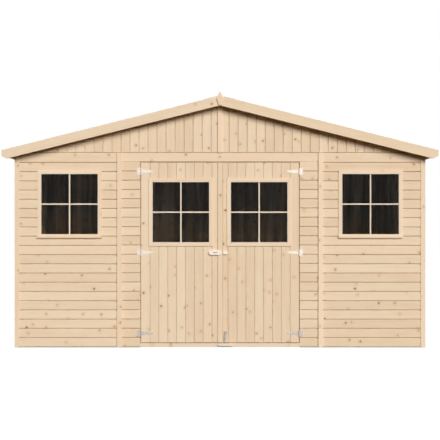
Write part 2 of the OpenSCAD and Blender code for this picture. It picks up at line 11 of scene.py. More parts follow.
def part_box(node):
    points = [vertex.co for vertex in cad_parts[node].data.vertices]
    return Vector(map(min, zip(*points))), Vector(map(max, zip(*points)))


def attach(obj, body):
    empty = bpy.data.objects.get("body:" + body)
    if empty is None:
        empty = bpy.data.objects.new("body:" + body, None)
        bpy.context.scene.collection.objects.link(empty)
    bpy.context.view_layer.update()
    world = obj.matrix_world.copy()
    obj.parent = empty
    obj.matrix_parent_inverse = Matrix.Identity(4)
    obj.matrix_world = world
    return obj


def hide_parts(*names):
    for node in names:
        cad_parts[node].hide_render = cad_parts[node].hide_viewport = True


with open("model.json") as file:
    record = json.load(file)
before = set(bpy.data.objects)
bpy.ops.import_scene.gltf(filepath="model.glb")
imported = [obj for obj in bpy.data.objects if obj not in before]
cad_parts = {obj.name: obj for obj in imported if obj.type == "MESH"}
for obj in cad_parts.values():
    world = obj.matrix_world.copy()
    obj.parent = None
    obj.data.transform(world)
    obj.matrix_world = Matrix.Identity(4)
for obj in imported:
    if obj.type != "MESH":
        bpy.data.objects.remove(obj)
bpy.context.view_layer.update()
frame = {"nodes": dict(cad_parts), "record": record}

# Directions and units
MM = 0.001
X = Vector((1, 0, 0))
Y = Vector((0, 1, 0))
Z = Vector((0, 0, 1))
FAR = 10

# Boards with tongues, where a joint is its gap and its chamfer
WALL_BOARD = 88 * MM
DOOR_BOARD = 84.5 * MM
GABLE_BOARD = 86 * MM
SMALLEST_SHARE = 0.3
WALL_JOINT = (4.2 * MM, 4.4 * MM)
GABLE_JOINT = (2.6 * MM, 3.6 * MM)
DOOR_JOINT = (1.5 * MM, 2.8 * MM)
FLOOR_JOINT = (1 * MM, 0.6 * MM)
TONGUE_DEPTH = (14.2 * MM, 15.7 * MM)
GABLE_FOOT_GAP = 2.5 * MM

# Planed timber
TIMBER_ROUND = 2 * MM
CASING_ROUND = 1.5 * MM
FINIAL_ROUND = 6 * MM
STRIP_CLEAR = 1 * MM
DOOR_GAP_MORE = 2 * MM
SHORTEST_ROUNDED = 8 * MM
SHARP_CORNER = math.radians(30)

# Windows
SASH_WIDTH = 11 * MM
SASH_SET = 0.5 * MM
SILL_LIFT = 0.05 * MM
BAR_WIDTH = 13.5 * MM
BAR_DEPTH = 9 * MM

# Plates of the fittings, and screw heads
STRAP_T = 2.5 * MM
BOLT_PLATE_T = 2 * MM
SCREW_R = 4 * MM
SMALL_SCREW_R = 3 * MM
SCREW_H = 1.3 * MM
HEAD_SIDES = 12
HEAD_TOP = 0.75
RECESS_RIM = 0.3
RECESS_DEPTH = 0.6
# Screws of a strap, by share of its length and by height over its middle
STRAP_SCREWS = ((0.25, 10 * MM), (0.25, -10 * MM), (0.58, 0), (0.9, 0))
# Screws of a hinge plate, by distance from its outer side and from its ends
PLATE_SCREW_IN = 11 * MM
PLATE_SCREW_END = 10 * MM
# Screws of the bolts, by shares of the fitting's width and height
LATCH_SCREWS = ((0.14, 0.5), (0.86, 0.5))
DROP_BOLT_SCREWS = ((0.15, 0.34), (0.85, 0.34), (0.15, 0.93), (0.85, 0.93))

# Roof felt and its nails, where a ripple is its rate down the slope and along the ridge
FELT_THICK = 2.5 * MM
FELT_LAP = 80 * MM
FELT_STRIPS = 3
FELT_LIFT = 0.2 * MM
FELT_WAVE = 0.4 * MM
FELT_RIPPLES = ((2.3, 7.1), (3.7, -4.9))
FELT_LIP = 30 * MM
CAP_HALF = 150 * MM
CAP_CREST = 6 * MM
STRIP_SEGMENTS = 8
CAP_SEGMENTS = 12
RIDGE_SEGMENTS = 36
CLOUT_R = 5 * MM
CLOUT_H = 1.2 * MM
CLOUT_STEP = 150 * MM
CLOUT_SET = 25 * MM

# Mesh cleaning, and cosines that say how squarely a face looks in a direction
WELD = 0.001 * MM
CUT_TOLERANCE = 0.001 * MM
FLAT_ANGLE = math.radians(0.5)
PLACE_DIGITS = 4
SQUARELY = 0.9
HALFWAY = 0.5

# Spruce, with scales and rates per metre along, across and into a board
KNOT_CELLS = 6.0
KNOT_RAGGED = 90.0
KNOT_WOBBLE = 8 * MM
KNOT_RADIUS = 3.5 * MM
KNOT_GROWTH = 6 * MM
KNOT_RIM = 1.35
KNOT_CORE = 0.7
HALO_REACH = 34 * MM
GRAIN_BEND = 11 * MM
GRAIN_DRIFT = 70 * MM
RING_RATE = 620.0
RING_SHARPNESS = 2.5
DRIFT_SCALE = (0.5, 3.0, 3.0)
STREAK_SCALE = (1.4, 38.0, 38.0)
FIBRE_SCALE = (6.0, 420.0, 420.0)
PATCH_SCALE = (7.0, 17.0, 17.0)
MEAN_SHADE = 0.55
RING_SHADE = 0.22
STREAK_SHADE = 0.55
FIBRE_SHADE = 0.2
PATCH_SHADE = 0.4
TONE_SHADE = 0.35
WARM_TURNS = 7.3
WARM_SHARE = 0.3
WARM_TINT = (1.0, 0.965, 0.9, 1)
HALO_SHARE = 0.3
HALO_COLOUR = (0.6, 0.36, 0.16, 1)
PALEST_KNOT = 0.4
KNOT_SPREAD = 0.55
KNOT_COLOUR = (0.16, 0.07, 0.025, 1)
WOOD_ROUGHNESS = 0.5
WOOD_GLOSS = 0.08
WOOD_BUMP = (0.4 * MM, 0.35)
WOOD_SEED = 11
WOOD_LENGTH = 30
BOARD_PALE = (0.876, 0.707, 0.516, 1)
BOARD_DEEP = (0.645, 0.44, 0.263, 1)

# Zinc, duller and darker up to a height
ZINC_FLAKES = 260.0
ZINC_CLOUDS = 45.0
ZINC_BRIGHT = ((0.50, 0.44, 0.385, 1), (0.56, 0.49, 0.43, 1))
ZINC_CLOUD_SHARE = 0.25
ZINC_CLOUD_COLOUR = (0.36, 0.33, 0.3, 1)
ZINC_ROUGHNESS = 0.5
ZINC_BUMP = (0.2 * MM, 0.2)
DULL_TOP = 0.45
DULL_FADE = 0.2
DULL_FLAKES = 0.3

# Felt
GRIT_CELLS = 420.0
GRIT_COLOURS = ((0.028, 0.032, 0.034, 1), (0.12, 0.13, 0.13, 1))
FELT_CLOUDS = 3.5
FELT_CLOUD_SHARE = 0.55
FELT_CLOUD_COLOUR = (0.035, 0.037, 0.036, 1)
FELT_ROUGHNESS = 0.75
FELT_BUMP = (1 * MM, 0.6)

# Glass, with the darkest and palest tint of its streaks in its upper part, and in its lower part, where a
# brown tint paints the light of the floor inside
PANE_STREAKS = (11.0, 11.0, 0.6)
STREAK_RANGE = (0.32, 0.68)
CLEAN_TINTS = ((0.21, 0.22, 0.23, 1), (0.62, 0.66, 0.70, 1))
LIT_FLOOR_TINTS = ((0.32, 0.29, 0.23, 1), (0.74, 0.68, 0.55, 1))
LIT_FLOOR_RANGE = (1.02, 1.38)
PANE_ROUGHNESS = 0.03
PANE_IOR = 1.2

# Camera
CAMERA_PLACE = (0, -12.5, 1.217)
CAMERA_LENS = 94.3
SENSOR_WIDTH = 36

# Light on the front, fills for the back and the sides, and the floor
KEY_SIDE = math.radians(17)
KEY_RISE = math.radians(22)
KEY_POWER = 3.24
KEY_SPREAD = math.radians(30)
FILLS = (((-0.6, 1, 0.8), 2.1), ((1, 0.25, 0.45), 1.1), ((-1, 0.25, 0.3), 1.1))
FILL_SPREAD = math.radians(20)
WHITE = (1, 1, 1, 1)
AMBIENT = 0.045
AMBIENT_COLOUR = (1, 0.75, 0.45, 1)
FLOOR_SIZE = 60
FLOOR_COLOUR = (0.11, 0.11, 0.11, 1)
FLOOR_BOUNCE = (0.04, 0.027, 0.014, 1)
FLOOR_GLOW = 0.96

rng = random.Random(WOOD_SEED)
body_of = {node: body for body, nodes in frame["record"]["behaviour"]["bodies"].items() for node in nodes}
slot_of = {part["node"]: part["material_slot"] for part in frame["record"]["subparts"]}
wall_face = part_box("front_header")[0].y
casing_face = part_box("left_door_window_frame")[0].y


# Shader nodes
def add_node(tree, kind, inputs=None, **settings):
    """Adds one shader node, with its inputs set to values or linked to sockets."""
    made = tree.nodes.new("ShaderNode" + kind)
    for name, value in settings.items():
        setattr(made, name, value)
    for key, value in (inputs or {}).items():
        if isinstance(value, bpy.types.NodeSocket):
            tree.links.new(value, made.inputs[key])
        else:
            made.inputs[key].default_value = value
    return made


def calc(tree, operation, *values):
    return add_node(tree, "Math", dict(enumerate(values)), operation=operation).outputs[0]


def times(tree, first, second):
    return calc(tree, "MULTIPLY", first, second)


def weighted(tree, start, *terms):
    """Sum of values, each times its weight, on top of a start."""
    total = start
    for value, weight in terms:
        total = calc(tree, "MULTIPLY_ADD", value, weight, total)
    return total


def ease(tree, value, start, end):
    """Smooth step from 0 at start to 1 at end."""
    inputs = {"Value": value, "From Min": start, "From Max": end}
    return add_node(tree, "MapRange", inputs, interpolation_type="SMOOTHSTEP").outputs["Result"]


def noise(tree, place, scale, detail=3.0, rough=0.55):
    """Noise with one scale, or with a scale of its own along each axis."""
    if isinstance(scale, tuple):
        place = add_node(tree, "VectorMath", {0: place, 1: scale}, operation="MULTIPLY").outputs["Vector"]
        scale = 1.0
    inputs = {"Vector": place, "Scale": scale, "Detail": detail, "Roughness": rough}
    return add_node(tree, "TexNoise", inputs).outputs["Fac"]


def cells(tree, place, scale, **settings):
    """Distance to the middle of the nearest cell, and three random numbers of that cell."""
    cell = add_node(tree, "TexVoronoi", {"Vector": place, "Scale": scale}, **settings).outputs
    return cell["Distance"], add_node(tree, "SeparateColor", {0: cell["Color"]}).outputs


def blend(tree, factor, first, second, mode="MIX"):
    inputs = {0: factor, 6: first, 7: second}
    return add_node(tree, "Mix", inputs, data_type="RGBA", blend_type=mode, clamp_factor=True).outputs[2]


def own_place(tree):
    """Place on the piece, and its height."""
    place = add_node(tree, "TexCoord").outputs["Object"]
    return place, add_node(tree, "SeparateXYZ", {0: place}).outputs[2]


def new_group(name, inputs):
    """Starts a node group for a surface and gives back its tree, its inputs and its outputs."""
    tree = bpy.data.node_groups.new(name, "ShaderNodeTree")
    for label, kind in inputs:
        tree.interface.new_socket(label, in_out="INPUT", socket_type="NodeSocket" + kind)
    for label, kind in (("Color", "Color"), ("Roughness", "Float"), ("Height", "Float")):
        tree.interface.new_socket(label, in_out="OUTPUT", socket_type="NodeSocket" + kind)
    start = tree.nodes.new("NodeGroupInput")
    end = tree.nodes.new("NodeGroupOutput")
    return tree, start.outputs, end.inputs


def new_material(name):
    material = bpy.data.materials.new(name)
    material.use_nodes = True
    tree = material.node_tree
    return material, tree, tree.nodes["Principled BSDF"]


def set_bump(tree, shader, height, bump):
    distance, strength = bump
    made = add_node(tree, "Bump", {"Height": height, "Distance": distance, "Strength": strength})
    tree.links.new(made.outputs["Normal"], shader.inputs["Normal"])


def group_material(name, group, values, bump):
    """Material whose colour, roughness and bump come from a group."""
    material, tree, shader = new_material(name)
    surface = add_node(tree, "Group", values, node_tree=group).outputs
    tree.links.new(surface["Color"], shader.inputs["Base Color"])
    tree.links.new(surface["Roughness"], shader.inputs["Roughness"])
    set_bump(tree, shader, surface["Height"], bump)
    return material, shader


# Spruce: growth rings, fibres and small knots that follow each board
def make_spruce_group():
    inputs = [("Pale", "Color"), ("Deep", "Color"), ("Knots", "Float"), ("Contrast", "Float")]
    tree, given, result = new_group("spruce_grain", inputs)
    place = add_node(tree, "Attribute", attribute_name="grain").outputs["Vector"]
    tone = add_node(tree, "Attribute", attribute_name="tone").outputs["Fac"]
    split = add_node(tree, "SeparateXYZ", {0: place}).outputs

    # Knots lie in cells, and only a share of the cells has one
    ragged = noise(tree, place, KNOT_RAGGED, detail=2.0)
    wobble = weighted(tree, -KNOT_WOBBLE / 2, (ragged, KNOT_WOBBLE))
    knot_x = calc(tree, "ADD", split[0], wobble)
    knot_y = calc(tree, "ADD", split[1], wobble)
    flat = add_node(tree, "CombineXYZ", {0: knot_x, 1: knot_y}).outputs[0]
    distance, chance = cells(tree, flat, KNOT_CELLS, voronoi_dimensions="2D")
    present = calc(tree, "LESS_THAN", chance[0], given["Knots"])
    away = calc(tree, "DIVIDE", distance, KNOT_CELLS)
    radius = weighted(tree, KNOT_RADIUS, (calc(tree, "POWER", chance[1], 2.0), KNOT_GROWTH))
    rim = times(tree, radius, KNOT_RIM)
    core = times(tree, radius, KNOT_CORE)
    knot = times(tree, ease(tree, away, rim, core), present)
    halo = times(tree, ease(tree, away, HALO_REACH, radius), present)

    # Rings and fibres run along the board and bend round the knots
    drift = noise(tree, place, DRIFT_SCALE, detail=2.0)
    bent = weighted(tree, split[1], (halo, GRAIN_BEND), (drift, GRAIN_DRIFT))
    across = add_node(tree, "CombineXYZ", {0: split[0], 1: bent, 2: split[2]}).outputs[0]
    wave = calc(tree, "SINE", times(tree, bent, RING_RATE))
    rings = calc(tree, "POWER", weighted(tree, 0.5, (wave, 0.5)), RING_SHARPNESS)
    streak = noise(tree, across, STREAK_SCALE, detail=4.0, rough=0.6)
    fibre = noise(tree, across, FIBRE_SCALE, detail=2.0)
    patch = noise(tree, place, PATCH_SCALE)

    # Darker share of the wood, and the board's own tone
    shades = (
        (rings, RING_SHADE), (streak, STREAK_SHADE), (fibre, FIBRE_SHADE),
        (patch, PATCH_SHADE), (tone, TONE_SHADE),
    )
    dark = times(tree, weighted(tree, -MEAN_SHADE, *shades), given["Contrast"])
    warm = calc(tree, "FRACT", times(tree, tone, WARM_TURNS))
    knot_shade = weighted(tree, PALEST_KNOT, (chance[2], KNOT_SPREAD))
    colour = blend(tree, dark, given["Pale"], given["Deep"])
    colour = blend(tree, times(tree, warm, WARM_SHARE), colour, WARM_TINT, "MULTIPLY")
    colour = blend(tree, times(tree, halo, HALO_SHARE), colour, HALO_COLOUR)
    colour = blend(tree, times(tree, knot, knot_shade), colour, KNOT_COLOUR)
    tree.links.new(colour, result["Color"])
    rough = weighted(tree, WOOD_ROUGHNESS, (streak, 0.2), (knot, -0.15))
    tree.links.new(rough, result["Roughness"])
    height = weighted(tree, 0, (rings, -0.4), (fibre, 0.5), (streak, 0.3))
    tree.links.new(height, result["Height"])
    return tree


# Zinc: bright plate with faint crystal flakes, duller and darker up to a height
def make_zinc_group():
    tree, given, result = new_group("zinc_flakes", [("Dull", "Color"), ("Dull Below", "Float")])
    place, height = own_place(tree)
    flake = cells(tree, place, ZINC_FLAKES)[1][0]
    cloud = noise(tree, place, ZINC_CLOUDS)
    low = ease(tree, height, given["Dull Below"], calc(tree, "SUBTRACT", given["Dull Below"], DULL_FADE))
    bright = blend(tree, flake, *ZINC_BRIGHT)
    dull = blend(tree, times(tree, flake, DULL_FLAKES), given["Dull"], bright)
    colour = blend(tree, low, bright, dull)
    colour = blend(tree, times(tree, cloud, ZINC_CLOUD_SHARE), colour, ZINC_CLOUD_COLOUR)
    tree.links.new(colour, result["Color"])
    rough = weighted(tree, ZINC_ROUGHNESS, (flake, 0.1), (cloud, 0.15))
    tree.links.new(rough, result["Roughness"])
    tree.links.new(cloud, result["Height"])
    return tree


spruce_group = make_spruce_group()
zinc_group = make_zinc_group()


def make_spruce(name, pale, deep, knots, contrast):
    values = {"Pale": pale, "Deep": deep, "Knots": knots, "Contrast": contrast}
    material, shader = group_material(name, spruce_group, values, WOOD_BUMP)
    shader.inputs["Specular IOR Level"].default_value = WOOD_GLOSS
    return material


def make_zinc(name, dull, dull_below):
    values = {"Dull": dull, "Dull Below": dull_below}
    material, shader = group_material(name, zinc_group, values, ZINC_BUMP)
    shader.inputs["Metallic"].default_value = 1
    return material


# Felt: bitumen sheet with mineral grit
def make_felt():
    material, tree, shader = new_material("felt")
    place = own_place(tree)[0]
    distance, chance = cells(tree, place, GRIT_CELLS)
    cloud = noise(tree, place, FELT_CLOUDS, detail=4.0)
    grit = blend(tree, chance[0], *GRIT_COLOURS)
    colour = blend(tree, times(tree, cloud, FELT_CLOUD_SHARE), grit, FELT_CLOUD_COLOUR)
    tree.links.new(colour, shader.inputs["Base Color"])
    rough = weighted(tree, FELT_ROUGHNESS, (chance[0], 0.2))
    tree.links.new(rough, shader.inputs["Roughness"])
    set_bump(tree, shader, distance, FELT_BUMP)
    return material


# Glass: grey sheet with upright rain streaks, and towards its foot a brown tint that paints the lit floor
# seen through it
def make_glass():
    material, tree, shader = new_material("glass")
    place, height = own_place(tree)
    streak = ease(tree, noise(tree, place, PANE_STREAKS), *STREAK_RANGE)
    clean = blend(tree, streak, *CLEAN_TINTS)
    # Brown tint low on the pane: painted light of the lit floor seen through it
    lit_floor = blend(tree, streak, *LIT_FLOOR_TINTS)
    low = ease(tree, height, LIT_FLOOR_RANGE[1], LIT_FLOOR_RANGE[0])
    tree.links.new(blend(tree, low, clean, lit_floor), shader.inputs["Base Color"])
    tree.links.new(times(tree, streak, PANE_ROUGHNESS), shader.inputs["Roughness"])
    shader.inputs["Transmission Weight"].default_value = 1
    shader.inputs["IOR"].default_value = PANE_IOR
    return material


finish = {
    "boards": make_spruce("spruce_boards", BOARD_PALE, BOARD_DEEP, knots=0.55, contrast=0.8),
    "trim": make_spruce(
        "spruce_trim", (0.905, 0.726, 0.541, 1), (0.71, 0.49, 0.297, 1), knots=0.3, contrast=0.7),
    "framing": make_spruce(
        "spruce_framing", (0.80, 0.62, 0.41, 1), (0.60, 0.41, 0.22, 1), knots=0.4, contrast=0.75),
    "zinc": make_zinc("zinc", (0.34, 0.305, 0.27, 1), DULL_TOP),
    "felt": make_felt(),
    "glass": make_glass(),
}
# Darkened zinc for the latch bolt: painted shade, so the slot round its knob reads dark
slot_shade_zinc = make_zinc("zinc_slot_shade", (0.15, 0.13, 0.12, 1), FAR)
door_finish = make_spruce("spruce_doors", BOARD_PALE, BOARD_DEEP, knots=0.75, contrast=0.8)
pale_finish = make_spruce(
    "spruce_pale", (0.86, 0.73, 0.58, 1), (0.75, 0.60, 0.44, 1), knots=0.0, contrast=0.5)
# Roof boards, rough-sawn and darker, which is also painted shade: they bounce less light into the eaves
rough_shade_finish = make_spruce(
    "spruce_rough_shade", (0.56, 0.38, 0.20, 1), (0.40, 0.26, 0.12, 1), knots=0.5, contrast=0.9)


# Meshes
def welded(node):
    """Copy of a CAD node's mesh with its loose triangles joined up."""
    bm = bmesh.new()
    bm.from_mesh(frame["nodes"][node].data)
    bmesh.ops.remove_doubles(bm, verts=bm.verts, dist=WELD)
    return bm


def join_flats(bm):
    bmesh.ops.dissolve_limit(bm, angle_limit=FLAT_ANGLE, verts=bm.verts, edges=bm.edges)


def layer(bm, direction, low, high):
    """Copy of a closed mesh, cut to what lies between two planes square to a direction."""
    part = bm.copy()
    for place, outward in ((low, -direction), (high, direction)):
        geom = part.verts[:] + part.edges[:] + part.faces[:]
        bmesh.ops.bisect_plane(part, geom=geom, dist=CUT_TOLERANCE, plane_co=direction * place,
                               plane_no=outward, clear_outer=True)
        open_edges = [edge for edge in part.edges if edge.is_boundary]
        bmesh.ops.holes_fill(part, edges=open_edges, sides=0)
    join_flats(part)
    bmesh.ops.recalc_face_normals(part, faces=part.faces)
    return part


def move_into(bm, part):
    """Adds a mesh to another one and frees it."""
    carrier = bpy.data.meshes.new("carrier")
    part.to_mesh(carrier)
    part.free()
    bm.from_mesh(carrier)
    bpy.data.meshes.remove(carrier)


def bevel(bm, edges, width, segments):
    bmesh.ops.bevel(bm, geom=edges, offset=width, offset_type="OFFSET", affect="EDGES",
                    segments=segments, profile=0.5, material=-1, clamp_overlap=True)


def round_edges(bm, width):
    """Takes the sharp long edges off planed timber."""
    edges = [
        edge for edge in bm.edges
        if edge.calc_face_angle(0) > SHARP_CORNER and edge.calc_length() > SHORTEST_ROUNDED
    ]
    bevel(bm, edges, width, segments=2)


def block(bm, low, high):
    """Adds a square block between two corners."""
    low, high = Vector(low), Vector(high)
    place = Matrix.Translation((low + high) / 2) @ Matrix.Diagonal((*(high - low), 1))
    bmesh.ops.create_cube(bm, size=1, matrix=place)


def islands(bm):
    """Groups of vertices that edges join, in a fixed order."""
    for vert in bm.verts:
        vert.tag = False
    groups = []
    for start in bm.verts:
        if start.tag:
            continue
        start.tag = True
        group = [start]
        for vert in group:
            for edge in vert.link_edges:
                other = edge.other_vert(vert)
                if not other.tag:
                    other.tag = True
                    group.append(other)
        groups.append(group)
    return groups


def island_boxes(node):
    """Lowest and highest corner of each solid in a CAD node, from left to right and upwards."""
    bm = welded(node)
    boxes = []
    for group in islands(bm):
        low = Vector([min(vert.co[i] for vert in group) for i in range(3)])
        high = Vector([max(vert.co[i] for vert in group) for i in range(3)])
        boxes.append((low, high))
    bm.free()
    return sorted(boxes, key=lambda box: (round(box[0].x, PLACE_DIGITS), box[0].z))


def mark_grain(bm, along=None):
    """Gives each board its own grain direction, a random stretch of wood and a random tone."""
    grain = bm.verts.layers.float_vector.new("grain")
    tone = bm.verts.layers.float.new("tone")
    for group in islands(bm):
        edges = [edge for vert in group for edge in vert.link_edges]
        faces = [face for vert in group for face in vert.link_faces]
        longest = max(edges, key=lambda edge: edge.calc_length())
        length = along or (longest.verts[1].co - longest.verts[0].co).normalized()
        sides = [face for face in faces if abs(face.normal.dot(length)) < HALFWAY]
        depth = max(sides, key=lambda face: face.calc_area()).normal.copy()
        across = depth.cross(length)
        shift = Vector([rng.uniform(0, WOOD_LENGTH) for _ in range(3)])
        shade = rng.random()
        for vert in group:
            vert[grain] = shift + Vector([vert.co.dot(axis) for axis in (length, across, depth)])
            vert[tone] = shade


def add_object(name, data):
    obj = bpy.data.objects.new(name, data)
    bpy.context.scene.collection.objects.link(obj)
    return obj


def make_piece(name, bm, material, body, slot):
    """Turns a finished mesh into a piece that rides on a body."""
    mesh = bpy.data.meshes.new(name)
    bm.to_mesh(mesh)
    bm.free()
    mesh.materials.append(material)
    piece = add_object(name, mesh)
    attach(piece, body)
    return piece


def stand_for(node, bm, word, material=None):
    """Makes the piece that shows in place of a CAD node."""
    slot = slot_of[node]
    piece = make_piece(f"{node}_{word}", bm, material or finish[slot], body_of[node], slot)
    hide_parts(node)


# Boards
jamb = island_boxes("front_door_sides")[-1][0].x


def joint_lines(low, high, width, anchor):
    """Places of the joints between boards of one width, laid from an anchor both ways."""
    reach = math.ceil((high - low) / width)
    lines = [anchor + step * width for step in range(-reach, reach + 1)]
    spare = SMALLEST_SHARE * width
    return [line for line in lines if low + spare < line < high - spare]


def chamfer_joints(bm, across, out, width, square=FAR):
    """Cuts the V-joints: the long edges between a board's face and its sides, but for a square one."""
    edges = []
    for edge in bm.edges:
        if len(edge.link_faces) != 2 or abs(edge.verts[0].co.dot(across) - square) < MM:
            continue
        normals = [face.normal for face in edge.link_faces]
        faces_out = [normal.dot(out) > SQUARELY for normal in normals]
        faces_side = [abs(normal.dot(across)) > SQUARELY for normal in normals]
        if any(faces_out) and any(faces_side):
            edges.append(edge)
    bevel(bm, edges, width, segments=1)


def cut_boards(slab, across, out, lines, joint, square=FAR):
    """Cuts a slab into boards with V-joints on the outer side and tongues in the gaps."""
    places = [vert.co.dot(across) for vert in slab.verts]
    ends = [min(places) - FAR, *lines, max(places) + FAR]
    face = max(vert.co.dot(out) for vert in slab.verts)
    gap, chamfer = joint
    made = bmesh.new()
    for low, high in zip(ends, ends[1:]):
        board = layer(slab, across, low + gap / 2, high - gap / 2)
        chamfer_joints(board, across, out, chamfer, square)
        move_into(made, board)
    for line in lines:
        strip = layer(slab, across, line - gap / 2, line + gap / 2)
        tongue = layer(strip, out, face - TONGUE_DEPTH[1], face - TONGUE_DEPTH[0])
        strip.free()
        move_into(made, tongue)
    slab.free()
    return made


def board_wall(node, across, out, lines, joint=WALL_JOINT, square=FAR, slab=None, material=None):
    """Shows a node as boards that are cut from its slab."""
    boards = cut_boards(slab or welded(node), across, out, lines, joint, square)
    mark_grain(boards, out.cross(across))
    stand_for(node, boards, "boards", material)


def widen_doorway(bm):
    """Moves what ends beside the leaves outwards, which widens the upright gaps there."""
    for side in (-1, 1):
        verts = [vert for vert in bm.verts if abs(vert.co.x - side * jamb) < MM]
        bmesh.ops.translate(bm, verts=verts, vec=X * side * DOOR_GAP_MORE)


def make_walls():
    walls = {
        "front_left_wall": -Y,
        "front_right_wall": -Y,
        "back_wall": Y,
        "left_wall": -X,
        "right_wall": X,
    }
    for node, out in walls.items():
        low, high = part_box(node)
        board_wall(node, Z, out, joint_lines(low.z, high.z, WALL_BOARD, low.z))
    low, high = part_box("front_door_sides")
    board = (high.z - low.z) / round((high.z - low.z) / WALL_BOARD)
    slab = welded("front_door_sides")
    widen_doorway(slab)
    board_wall("front_door_sides", Z, -Y, joint_lines(low.z, high.z, board, low.z), slab=slab)
    board_wall("front_header", Z, -Y, [], material=finish["trim"])


def make_gables():
    for node, out in (("front_gable", -Y), ("back_gable", Y)):
        low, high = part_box(node)
        whole = welded(node)
        slab = layer(whole, Z, low.z + GABLE_FOOT_GAP, FAR)
        whole.free()
        chamfer_joints(slab, Z, out, GABLE_JOINT[1])
        board_wall(node, X, out, joint_lines(low.x, high.x, GABLE_BOARD, 0), GABLE_JOINT, slab=slab)


def make_doors():
    for node, side in (("left_door_leaf", -1), ("right_door_leaf", 1)):
        low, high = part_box(node)
        hung = high.x if side > 0 else low.x
        lines = joint_lines(low.x, high.x, DOOR_BOARD, hung)
        board_wall(node, X, -Y, lines, DOOR_JOINT, hung, material=door_finish)


def make_floor_boards():
    low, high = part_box("floor_deck")
    board_wall("floor_deck", Y, Z, joint_lines(low.y, high.y, WALL_BOARD, low.y), FLOOR_JOINT)


# Roof
deck_low, deck_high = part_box("roof_deck")
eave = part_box("eave_boards")[1]
roof_depth = deck_high.y - deck_low.y
roof_angle = math.atan2(deck_high.z - eave.z, deck_high.x)
felt_step = eave.x / math.cos(roof_angle) / FELT_STRIPS


def make_roof_boards():
    lines = joint_lines(deck_low.y, deck_high.y, WALL_BOARD, deck_low.y)
    deck = welded("roof_deck")
    made = bmesh.new()
    for side in (-1, 1):
        half = layer(deck, X * side, 0, FAR)
        under = -Vector((side * math.sin(roof_angle), 0, math.cos(roof_angle)))
        boards = cut_boards(half, Y, under, lines, WALL_JOINT)
        mark_grain(boards, under.cross(Y))
        move_into(made, boards)
    deck.free()
    stand_for("roof_deck", made, "boards", rough_shade_finish)


def wave_height(x, y):
    """Slight unevenness of a sheet that lies on boards."""
    ripples = [math.sin(rate_x * x + rate_y * y) for rate_x, rate_y in FELT_RIPPLES]
    return FELT_WAVE * sum(ripples) / len(ripples)


def on_slope(side):
    """Place of a slope: X down the slope from the ridge, Y along the ridge, Z out of the roof."""
    turn = Matrix.Rotation(0 if side > 0 else math.pi, 4, "Z")
    return Matrix.Translation((0, 0, deck_high.z)) @ turn @ Matrix.Rotation(roof_angle, 4, "Y")


def felt_grid(segments, lay):
    """Sheet as long as the roof, whose points a function lays by their share across and place along."""
    bm = bmesh.new()
    bmesh.ops.create_grid(bm, x_segments=segments, y_segments=RIDGE_SEGMENTS, size=0.5)
    for vert in bm.verts:
        vert.co = lay(vert.co.x, vert.co.y * roof_depth)
    return bm


def thicken_felt(bm):
    """Turns a sheet's faces down to the roof and gives it its thickness above them."""
    bmesh.ops.recalc_face_normals(bm, faces=bm.faces)
    if sum(face.normal.z for face in bm.faces) > 0:
        bmesh.ops.reverse_faces(bm, faces=bm.faces)
    bmesh.ops.solidify(bm, geom=bm.faces[:], thickness=FELT_THICK)


def felt_strip(start, end, side, last):
    """One strip of felt down to a distance from the ridge, with its lower edge on the strip below."""
    slope = on_slope(side)

    def lay(share, y):
        x = start + (share + 0.5) * (end - start)
        rise = 0 if last else (share + 0.5) * FELT_THICK
        return slope @ Vector((x, y, FELT_LIFT + rise + FELT_WAVE + wave_height(x, y)))

    bm = felt_grid(STRIP_SEGMENTS, lay)
    if last:
        edge_x = max(abs(vert.co.x) for vert in bm.verts)
        edges = [edge for edge in bm.edges if all(abs(vert.co.x) > edge_x - MM for vert in edge.verts)]
        lip = bmesh.ops.extrude_edge_only(bm, edges=edges)["geom"]
        verts = [item for item in lip if isinstance(item, bmesh.types.BMVert)]
        bmesh.ops.translate(bm, verts=verts, vec=-Z * FELT_LIP)
    thicken_felt(bm)
    return bm


def make_felt_roof():
    felt = bmesh.new()
    for side in (-1, 1):
        for index in range(FELT_STRIPS):
            start = max(index * felt_step - FELT_LAP, MM)
            move_into(felt, felt_strip(start, (index + 1) * felt_step, side, index == FELT_STRIPS - 1))
    stand_for("roof_felt", felt, "sheets")


def make_ridge_cap():
    crest = deck_high.z + 2 * FELT_WAVE + FELT_LIFT + FELT_THICK

    def lay(share, y):
        x = share * 2 * CAP_HALF
        drop = math.hypot(x * math.tan(roof_angle), CAP_CREST) - CAP_CREST
        return Vector((x, y, crest - drop + wave_height(abs(x), y)))

    cap = felt_grid(CAP_SEGMENTS, lay)
    thicken_felt(cap)
    stand_for("ridge_cap", cap, "sheet")


def make_felt_nails():
    """Clout nails along the lower edge of each felt strip and both edges of the ridge cap."""
    nails = bmesh.new()
    count = int(roof_depth / CLOUT_STEP)
    lap = [FELT_THICK] * (FELT_STRIPS - 1) + [0]
    rows = [(felt_step * (index + 1) - CLOUT_SET, rise) for index, rise in enumerate(lap)]
    rows.append(((CAP_HALF - CLOUT_SET) / math.cos(roof_angle), FELT_THICK + FELT_WAVE))
    for side in (-1, 1):
        slope = on_slope(side)
        out = (slope.to_3x3() @ Z).normalized()
        for x, rise in rows:
            for index in range(count):
                y = deck_low.y + (index + 0.5) * CLOUT_STEP
                height = FELT_LIFT + rise + FELT_WAVE + wave_height(x, y) + FELT_THICK
                head(nails, slope @ Vector((x, y, height)), out, CLOUT_R, CLOUT_H)
    make_piece("felt_nails", nails, finish["zinc"], "root", "zinc")


# Timber that needs only rounded edges and grain
TIMBER_NODES = (
    "floor_bearers", "wall_plates", "wall_studs", "door_posts", "door_head", "door_threshold",
    "gable_frames", "front_cover_strips", "back_cover_strips", "side_cover_strips", "roof_beams",
    "eave_boards", "bargeboards", "finials", "left_door_ledges", "right_door_ledges", "drop_bolt_keeper",
)
# Timber that ends beside the door leaves
DOORWAY_NODES = ("door_posts", "door_head", "door_threshold")
# Timber whose wood differs from the rest of its slot
TIMBER_FINISH = {"bargeboards": finish["boards"], "drop_bolt_keeper": pale_finish}


